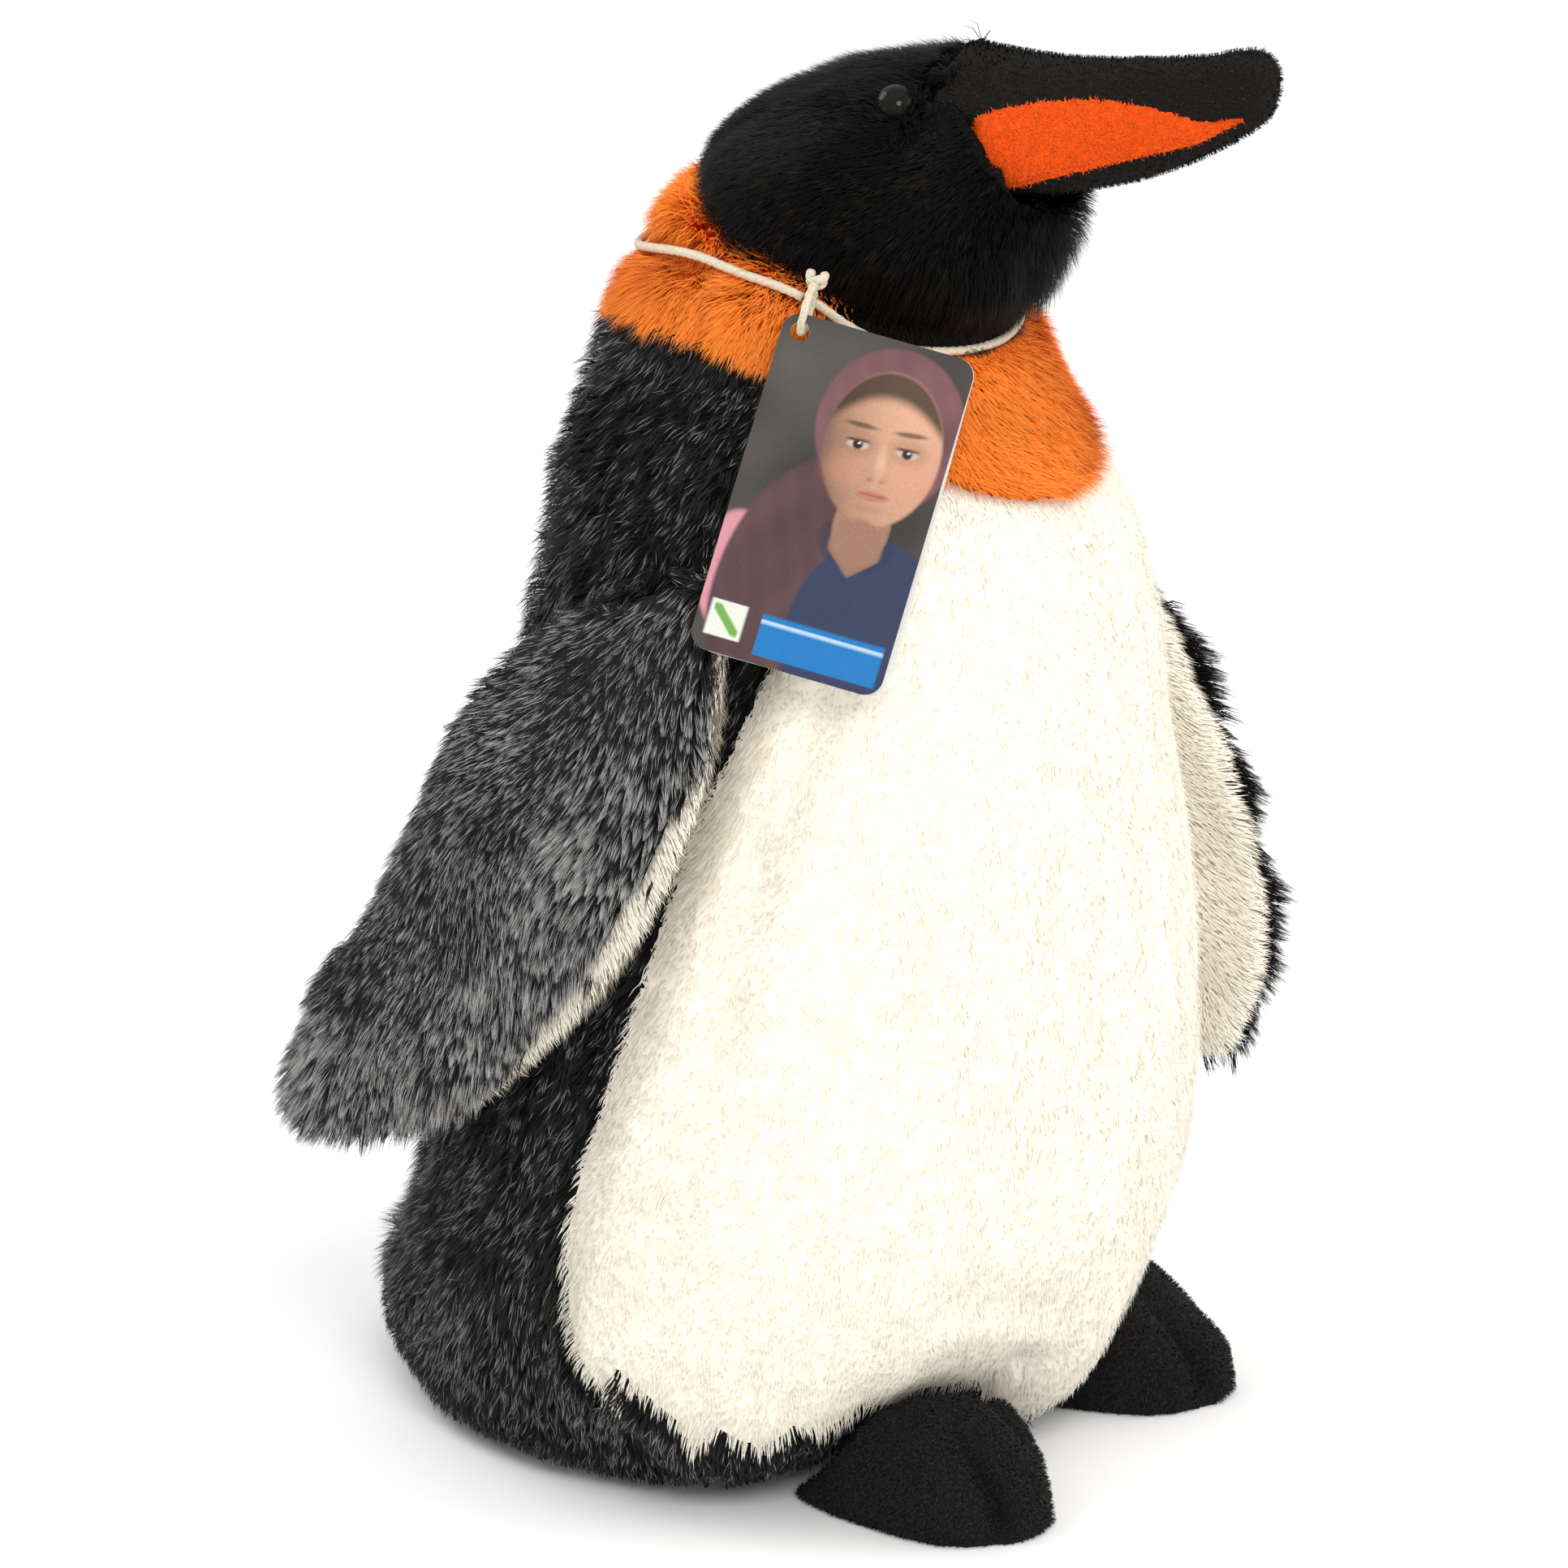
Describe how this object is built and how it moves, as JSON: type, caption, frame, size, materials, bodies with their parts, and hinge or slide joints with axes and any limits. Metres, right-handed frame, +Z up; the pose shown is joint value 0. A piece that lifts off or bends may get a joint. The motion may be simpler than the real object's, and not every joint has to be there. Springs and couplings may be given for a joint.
{
  "type": "plush penguin",
  "caption": "Standing plush penguin with charcoal back, cream belly, orange collar, felt beak and feet, posable wings and head, and a folded swing tag on a neck cord.",
  "frame": {"origin": "on the floor under the flat base, on the penguin's middle plane, below the middle of the body", "axes": "+Z up; -Y the way the penguin faces; +X the penguin's left"},
  "size_m": [0.2367, 0.269, 0.4011],
  "materials": {
    "cream_plush": "matte",
    "charcoal_plush": "matte",
    "frosted_plush": "matte",
    "orange_plush": "matte",
    "black_plush": "matte",
    "black_felt": "matte",
    "orange_felt": "matte",
    "polyester_fill": "matte",
    "eye_plastic": "gloss",
    "washer_plastic": "satin",
    "printed_card": "satin",
    "cotton_cord": "matte"
  },
  "bodies": {
    "torso": {"belly_panel": "cream_plush", "back_panel": "charcoal_plush", "collar_bib": "orange_plush", "collar_nape": "orange_plush", "base_panel": "charcoal_plush", "body_stuffing": "polyester_fill", "foot_left_upper": "black_felt", "foot_left_sole": "black_felt", "foot_left_stuffing": "polyester_fill", "foot_right_upper": "black_felt", "foot_right_sole": "black_felt", "foot_right_stuffing": "polyester_fill", "neck_cord": "cotton_cord", "cord_knot": "cotton_cord"},
    "head": {"head_panel_left": "black_plush", "head_panel_right": "black_plush", "head_centre_strip": "black_plush", "throat_panel": "black_plush", "head_stuffing": "polyester_fill", "beak_upper": "black_felt", "beak_lower": "black_felt", "beak_patch_left": "orange_felt", "beak_patch_right": "orange_felt", "beak_stuffing": "polyester_fill", "eye_left": "eye_plastic", "eye_right": "eye_plastic", "eye_washer_left": "washer_plastic", "eye_washer_right": "washer_plastic"},
    "wing_left": {"wing_left_outer": "frosted_plush", "wing_left_inner": "cream_plush", "wing_left_stuffing": "polyester_fill"},
    "wing_right": {"wing_right_outer": "frosted_plush", "wing_right_inner": "cream_plush", "wing_right_stuffing": "polyester_fill"},
    "tag_leaf_back": {"tag_back": "printed_card"},
    "tag_leaf_cover": {"tag_cover": "printed_card"}
  },
  "joints": [
    {"name": "head_turn", "type": "hinge", "parent": "torso", "child": "head", "pos_m": [0, -0.012, 0.34], "axis": [0, -0.3584, 0.9336], "range_deg": [-20, 20], "stiffness_Nm_per_rad": 0.3},
    {"name": "wing_right_lift", "type": "hinge", "parent": "torso", "child": "wing_right", "pos_m": [-0.086, -0.002, 0.262], "axis": [0.154, 0.9542, -0.2565], "range_deg": [0, 60], "stiffness_Nm_per_rad": 0.15},
    {"name": "wing_left_lift", "type": "hinge", "parent": "torso", "child": "wing_left", "pos_m": [0.088, 0.008, 0.258], "axis": [0, -0.9789, 0.2041], "range_deg": [0, 60], "stiffness_Nm_per_rad": 0.15},
    {"name": "tag_swing", "type": "hinge", "parent": "torso", "child": "tag_leaf_back", "pos_m": [-0.063, -0.034, 0.331], "axis": [-0.438, 0.899, 0], "range_deg": [0, 28]},
    {"name": "tag_open", "type": "hinge", "parent": "tag_leaf_back", "child": "tag_leaf_cover", "pos_m": [-0.06464, -0.02943, 0.33218], "axis": [-0.4666, 0.0604, -0.8824], "range_deg": [0, 24]}
  ]
}
